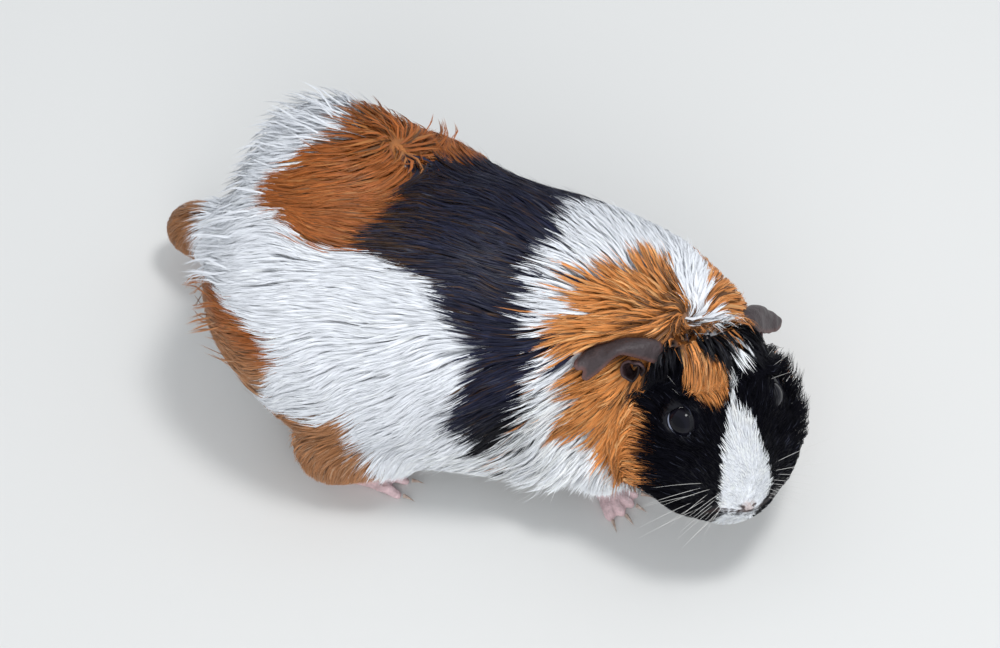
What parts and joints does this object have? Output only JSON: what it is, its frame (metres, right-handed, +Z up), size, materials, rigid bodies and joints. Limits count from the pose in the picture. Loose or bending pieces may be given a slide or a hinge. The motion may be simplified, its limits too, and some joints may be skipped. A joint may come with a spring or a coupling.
{
  "type": "guinea pig",
  "caption": "Life-size still model of a rough-coated black, white and ginger guinea pig in mid step, head low and turned to its right.",
  "frame": {"origin": "on the floor, under the middle of the animal's box", "axes": "+Z up, -Y the way the trunk faces, +X the animal's left side"},
  "size_m": [0.1176, 0.249, 0.107],
  "materials": {
    "coat_white": "rough white fur, a little bluish in shade",
    "coat_black": "rough black fur with a blue-grey sheen",
    "coat_ginger": "rough ginger fur, ticked darker at the crown",
    "ear_leather": "thin bare dark leather, slightly folded",
    "foot_skin": "soft pink skin with fine short hair",
    "eye": "wet, blue-black",
    "claw_horn": "pale horn, smooth"
  },
  "bodies": {
    "root": {"trunk": "coat_white", "neck": "coat_ginger", "head": "coat_black", "ear_left": "ear_leather", "ear_right": "ear_leather", "eye_left": "eye", "eye_right": "eye", "fore_leg_right": "coat_white", "fore_leg_left": "coat_white", "hind_leg_right": "coat_ginger", "hind_leg_left": "coat_white", "fore_foot_right": "foot_skin", "fore_foot_left": "foot_skin", "hind_foot_right": "foot_skin", "hind_foot_left": "foot_skin", "claw_fore_right_1": "claw_horn", "claw_fore_right_2": "claw_horn", "claw_fore_right_3": "claw_horn", "claw_fore_right_4": "claw_horn", "claw_fore_left_1": "claw_horn", "claw_fore_left_2": "claw_horn", "claw_fore_left_3": "claw_horn", "claw_fore_left_4": "claw_horn", "claw_hind_right_1": "claw_horn", "claw_hind_right_2": "claw_horn", "claw_hind_right_3": "claw_horn", "claw_hind_left_1": "claw_horn", "claw_hind_left_2": "claw_horn", "claw_hind_left_3": "claw_horn"}
  },
  "joints": []
}
